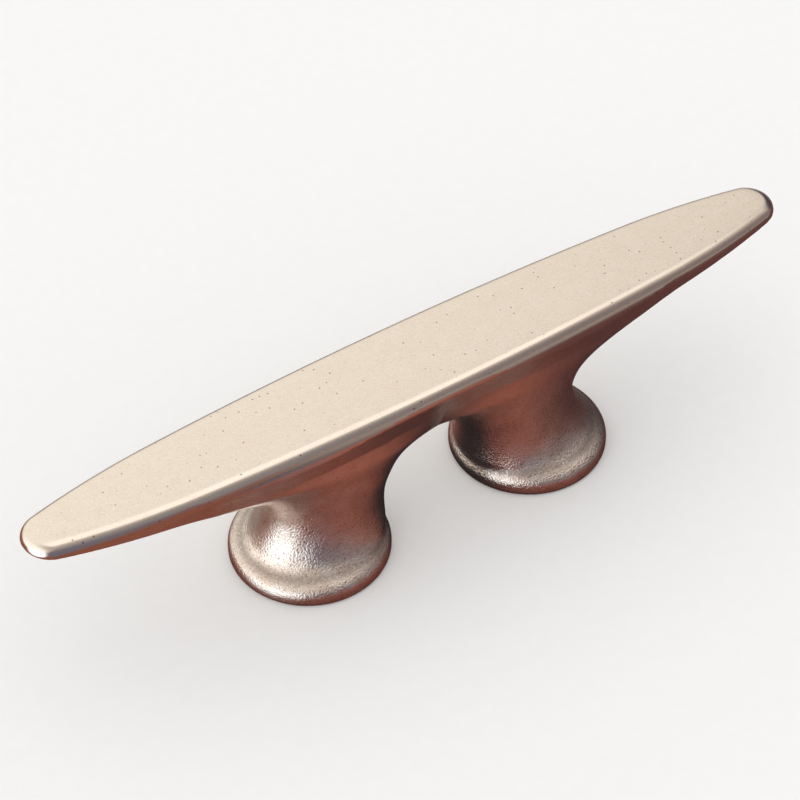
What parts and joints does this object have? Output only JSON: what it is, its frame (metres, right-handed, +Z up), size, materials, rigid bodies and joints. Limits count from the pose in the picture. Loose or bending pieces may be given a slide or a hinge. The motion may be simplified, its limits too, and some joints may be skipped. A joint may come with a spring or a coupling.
{
  "type": "mooring cleat",
  "caption": "Low two-horned deck cleat: one bronze casting with a long flat-topped bar on round-footed pedestals, fastened from below by studs, washers and nuts.",
  "frame": {"origin": "on the deck plane, under the middle of the horn, midway between the two studs", "axes": "+X along the horn, +Y across it, +Z up from the deck; the studs point along -Z"},
  "size_m": [0.2542, 0.048, 0.0988],
  "materials": {
    "cast_bronze": "cast bronze, top and edges polished to a satin, pedestals and feet left with a fine cast grain",
    "rod_bronze": "bronze rod with rolled threads",
    "washer_bronze": "blanked bronze sheet, lightly tumbled",
    "spring_bronze": "hard-drawn bronze, dull",
    "nut_bronze": "machined bronze"
  },
  "bodies": {
    "root": {"horn_casting": "cast_bronze", "fore_stud": "rod_bronze", "aft_stud": "rod_bronze"},
    "fore_washers": {"fore_flat_washer": "washer_bronze", "fore_spring_washer": "spring_bronze"},
    "fore_nut": {"fore_hex_nut": "nut_bronze"},
    "aft_washers": {"aft_flat_washer": "washer_bronze", "aft_spring_washer": "spring_bronze"},
    "aft_nut": {"aft_hex_nut": "nut_bronze"}
  },
  "joints": [
    {"name": "fore_washer_slide", "type": "slide", "parent": "root", "child": "fore_washers", "axis": [0, 0, 1], "range_m": [-0.0105, 0.0035]},
    {"name": "fore_nut_turn", "type": "hinge", "parent": "fore_washers", "child": "fore_nut", "pos_m": [0.039, 0, -0.0265], "axis": [0, 0, 1], "range_deg": [-2160, 720]},
    {"name": "aft_washer_slide", "type": "slide", "parent": "root", "child": "aft_washers", "axis": [0, 0, 1], "range_m": [-0.0105, 0.0035]},
    {"name": "aft_nut_turn", "type": "hinge", "parent": "aft_washers", "child": "aft_nut", "pos_m": [-0.039, 0, -0.0265], "axis": [0, 0, 1], "range_deg": [-2160, 720]}
  ],
  "couplings": [
    {"joint": "fore_nut_turn", "follows": "fore_washer_slide", "rad_per_m": 3590.4},
    {"joint": "aft_nut_turn", "follows": "aft_washer_slide", "rad_per_m": 3590.4}
  ]
}
